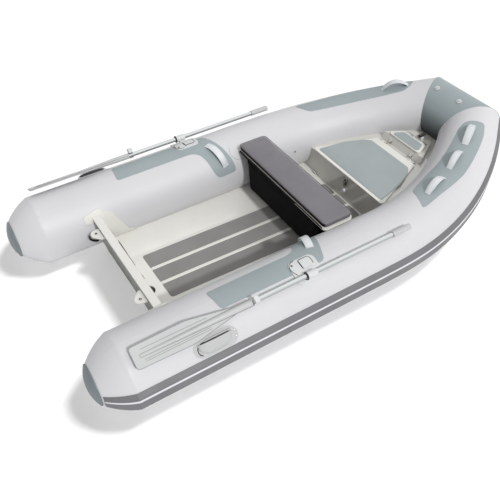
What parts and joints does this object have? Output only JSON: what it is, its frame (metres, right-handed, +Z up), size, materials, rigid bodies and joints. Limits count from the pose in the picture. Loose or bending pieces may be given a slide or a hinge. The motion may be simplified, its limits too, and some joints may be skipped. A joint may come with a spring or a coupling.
{
  "type": "inflatable rib tender",
  "caption": "Rigid-bottomed inflatable tender with V hull, side tubes, bench seat, bow lockers with hinged lids and stowed oars in swivelling oarlocks.",
  "frame": {"origin": "on the centreline at the waterline, below the aft edge of the transom top", "axes": "+X forward to the bow, +Y to port, +Z up"},
  "size_m": [3.256, 1.7108, 0.6858],
  "materials": {
    "gelcoat_white": "gloss moulded laminate",
    "gelcoat_cream": "satin moulded laminate",
    "tube_fabric": "smooth coated fabric",
    "patch_fabric": "coated fabric",
    "strake_rubber": "extruded strake",
    "stripe_rubber": "extruded stripe",
    "deck_foam": "foam deck strip",
    "pad_foam": "foam deck pad",
    "board_plastic": "moulded board",
    "cushion_vinyl": "coated upholstery",
    "bag_fabric": "woven bag cloth",
    "oar_plastic": "moulded",
    "oar_aluminium": "anodised tube",
    "fitting_plastic": "moulded",
    "pad_plastic": "moulded",
    "handle_webbing": "coated webbing",
    "stainless": "polished"
  },
  "bodies": {
    "root": {"anchor_hinges": "stainless", "bench_board": "board_plastic", "bench_cushion": "cushion_vinyl", "bow_deck": "gelcoat_cream", "bow_fittings": "fitting_plastic", "bow_patches": "patch_fabric", "bow_strake": "strake_rubber", "bow_tube": "patch_fabric", "floor_strips": "deck_foam", "hull": "gelcoat_white", "latches": "stainless", "locker_hinges": "stainless", "port_carry_handle": "fitting_plastic", "port_grab_handles": "handle_webbing", "port_oar_clip": "fitting_plastic", "port_oarlock": "fitting_plastic", "port_stern_cap": "patch_fabric", "port_strake": "strake_rubber", "port_tube": "tube_fabric", "seat_bag": "bag_fabric", "sole": "gelcoat_cream", "starboard_carry_handle": "fitting_plastic", "starboard_grab_handles": "handle_webbing", "starboard_oar_clip": "fitting_plastic", "starboard_oarlock": "fitting_plastic", "starboard_stern_cap": "patch_fabric", "starboard_strake": "strake_rubber", "starboard_tube": "tube_fabric", "strake_stripes": "stripe_rubber", "transom": "gelcoat_cream", "transom_cover": "pad_plastic", "transom_knees": "gelcoat_cream", "wear_patches": "patch_fabric"},
    "locker_lid": {"locker_lid": "gelcoat_cream", "locker_pad": "pad_foam"},
    "anchor_lid": {"anchor_lid": "gelcoat_cream", "anchor_pad": "pad_foam"},
    "port_oar": {"port_oar_blade": "oar_plastic", "port_oar_shaft": "oar_aluminium", "port_oar_grip": "oar_plastic", "port_oar_collar": "fitting_plastic"},
    "starboard_oar": {"starboard_oar_blade": "oar_plastic", "starboard_oar_shaft": "oar_aluminium", "starboard_oar_grip": "oar_plastic", "starboard_oar_collar": "fitting_plastic"}
  },
  "joints": [
    {"name": "locker_lid_hinge", "type": "hinge", "parent": "root", "child": "locker_lid", "pos_m": [2.101, 0, 0.2692], "axis": [0, 1, 0], "range_deg": [0, 100]},
    {"name": "anchor_lid_hinge", "type": "hinge", "parent": "root", "child": "anchor_lid", "pos_m": [2.261, 0, 0.3165], "axis": [0, 1, 0], "range_deg": [0, 100]},
    {"name": "port_oarlock_swivel", "type": "hinge", "parent": "root", "child": "port_oar", "pos_m": [0.798, 0.746, 0.426], "axis": [0, -0.5039, -0.8638], "range_deg": [0, 105]},
    {"name": "starboard_oarlock_swivel", "type": "hinge", "parent": "root", "child": "starboard_oar", "pos_m": [0.798, -0.746, 0.426], "axis": [0, -0.5039, 0.8638], "range_deg": [0, 105]}
  ]
}
